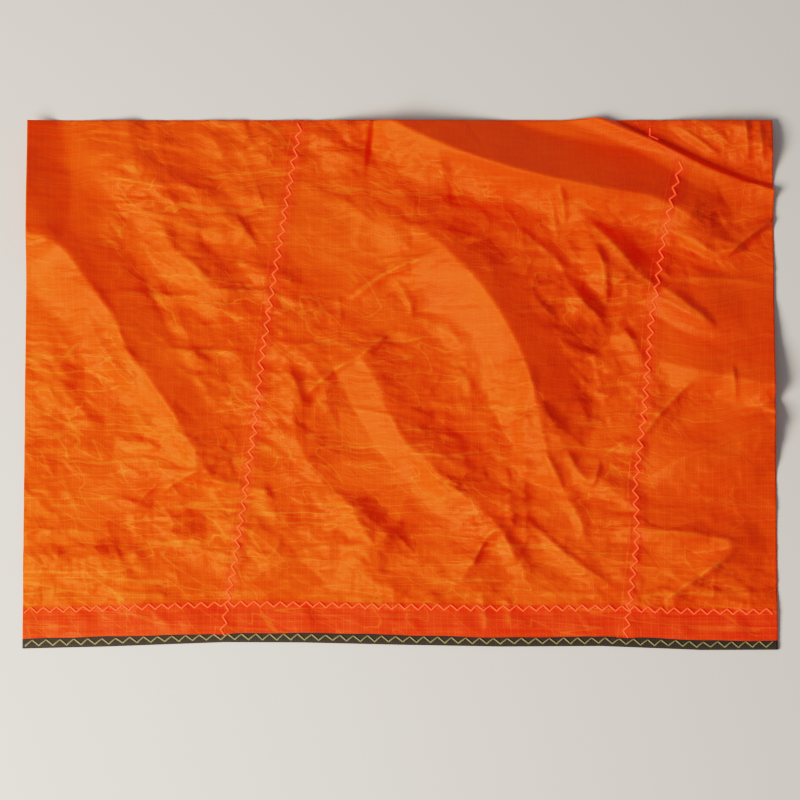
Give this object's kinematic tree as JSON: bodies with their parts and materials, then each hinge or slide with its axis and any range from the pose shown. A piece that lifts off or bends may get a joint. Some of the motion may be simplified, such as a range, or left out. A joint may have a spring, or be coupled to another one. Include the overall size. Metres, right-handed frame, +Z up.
{
  "type": "kitesurfing kite canopy cloth, trailing edge length",
  "caption": "Cut length of ripstop kite canopy at its trailing edge, lying crumpled, with lapped panel seams, a sewn hem and a narrow binding tape.",
  "frame": {"origin": "middle of the cloth's length and depth, on the surface it lies on", "axes": "+X along the trailing edge to the right as the cloth is seen from above with the binding nearest, +Y from the binding towards the cut, +Z up"},
  "size_m": [0.5405, 0.3945, 0.0272],
  "materials": {
    "canopy": "coated ripstop nylon, orange, crisp with a soft sheen",
    "binding": "woven polyester tape, dark grey brown, matte",
    "seam_thread": "bonded polyester sewing thread, pinkish orange, slight gloss",
    "binding_thread": "bonded polyester sewing thread, pale olive, slight gloss"
  },
  "bodies": {
    "root": {"panel_left": "canopy", "panel_middle": "canopy", "panel_right": "canopy", "edge_tape": "binding"}
  },
  "joints": []
}
